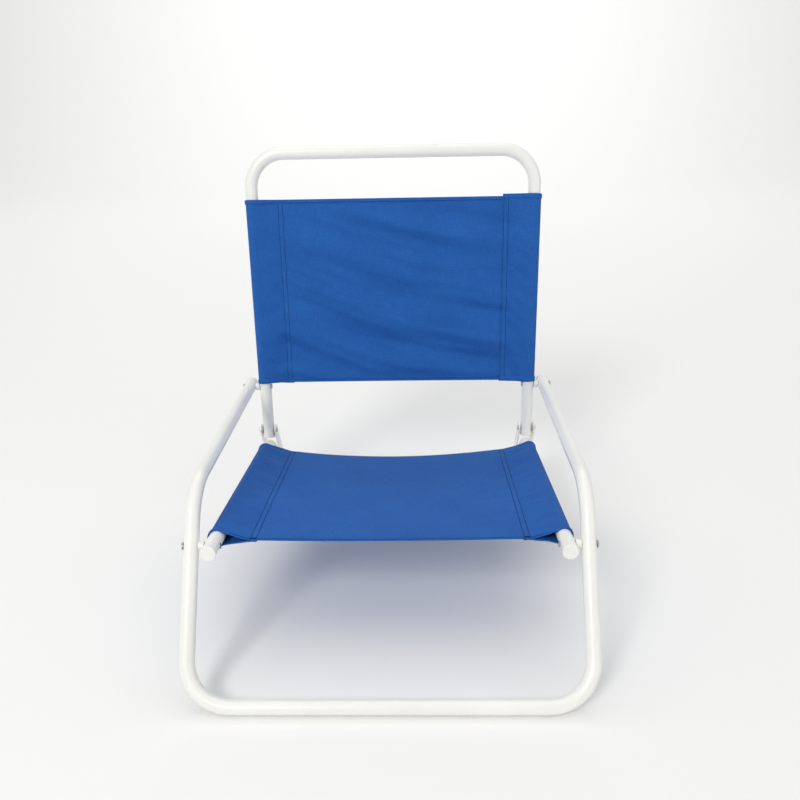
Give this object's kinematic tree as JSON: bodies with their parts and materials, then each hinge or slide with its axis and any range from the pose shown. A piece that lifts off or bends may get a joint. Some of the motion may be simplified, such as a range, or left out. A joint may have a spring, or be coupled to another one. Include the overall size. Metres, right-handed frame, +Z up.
{
  "type": "folding beach chair",
  "caption": "Low folding beach chair: white bent steel tube frames with fold-forward back, blue fabric sling seat and back, floor bars front and rear.",
  "frame": {"origin": "on the floor, at the centre of the plan outline", "axes": "+Z up, the sitter faces -Y, +X is the side on the right of someone who looks at the chair from the front"},
  "size_m": [0.5152, 0.6152, 0.5995],
  "materials": {
    "white_paint": "glossy powder coat",
    "blue_fabric": "plain-woven polyester, matt",
    "white_plastic": "moulded, semi-gloss",
    "link_steel": "white paint on flat bar",
    "rivet_steel": "zinc-plated tubular rivet",
    "washer_steel": "zinc-plated"
  },
  "bodies": {
    "front": {"front_frame": "white_paint", "left_seat_pivot_rivet": "rivet_steel", "left_seat_pivot_spacer": "white_plastic", "left_arm_pivot_rivet": "rivet_steel", "left_arm_pivot_spacer": "white_plastic", "left_arm_plug": "white_plastic", "right_seat_pivot_rivet": "rivet_steel", "right_seat_pivot_spacer": "white_plastic", "right_arm_pivot_rivet": "rivet_steel", "right_arm_pivot_spacer": "white_plastic", "right_arm_plug": "white_plastic"},
    "seat": {"seat_frame": "white_paint", "seat_fabric": "blue_fabric", "left_seat_rail_plug": "white_plastic", "right_seat_rail_plug": "white_plastic"},
    "back": {"back_frame": "white_paint", "back_fabric": "blue_fabric", "left_link_upper_rivet": "rivet_steel", "left_link_upper_washer_outer": "washer_steel", "left_link_upper_washer_inner": "washer_steel", "left_upright_plug": "white_plastic", "right_link_upper_rivet": "rivet_steel", "right_link_upper_washer_outer": "washer_steel", "right_link_upper_washer_inner": "washer_steel", "right_upright_plug": "white_plastic"},
    "left_links": {"left_link_bar_outer": "link_steel", "left_link_bar_inner": "link_steel", "left_link_lower_washer_outer": "washer_steel", "left_link_lower_washer_inner": "washer_steel", "left_link_lower_rivet_outer": "rivet_steel", "left_link_lower_rivet_inner": "rivet_steel"},
    "right_links": {"right_link_bar_outer": "link_steel", "right_link_bar_inner": "link_steel", "right_link_lower_washer_outer": "washer_steel", "right_link_lower_washer_inner": "washer_steel", "right_link_lower_rivet_outer": "rivet_steel", "right_link_lower_rivet_inner": "rivet_steel"}
  },
  "joints": [
    {"name": "back_fold", "type": "hinge", "parent": "front", "child": "back", "pos_m": [0, 0.21014, 0.2284], "axis": [1, 0, 0], "range_deg": [0, 97]},
    {"name": "seat_fold", "type": "hinge", "parent": "front", "child": "seat", "pos_m": [0, -0.18836, 0.168], "axis": [1, 0, 0], "range_deg": [0, 10.2]},
    {"name": "left_link_swing", "type": "hinge", "parent": "back", "child": "left_links", "pos_m": [-0.22, 0.19957, 0.15314], "axis": [1, 0, 0], "range_deg": [-156.1, 0]},
    {"name": "right_link_swing", "type": "hinge", "parent": "back", "child": "right_links", "pos_m": [0.22, 0.19957, 0.15314], "axis": [1, 0, 0], "range_deg": [-156.1, 0]}
  ],
  "couplings": [
    {"joint": "seat_fold", "follows": "back_fold", "ratio": 0.10461},
    {"joint": "left_link_swing", "follows": "back_fold", "ratio": -1.6071},
    {"joint": "right_link_swing", "follows": "back_fold", "ratio": -1.6071}
  ]
}
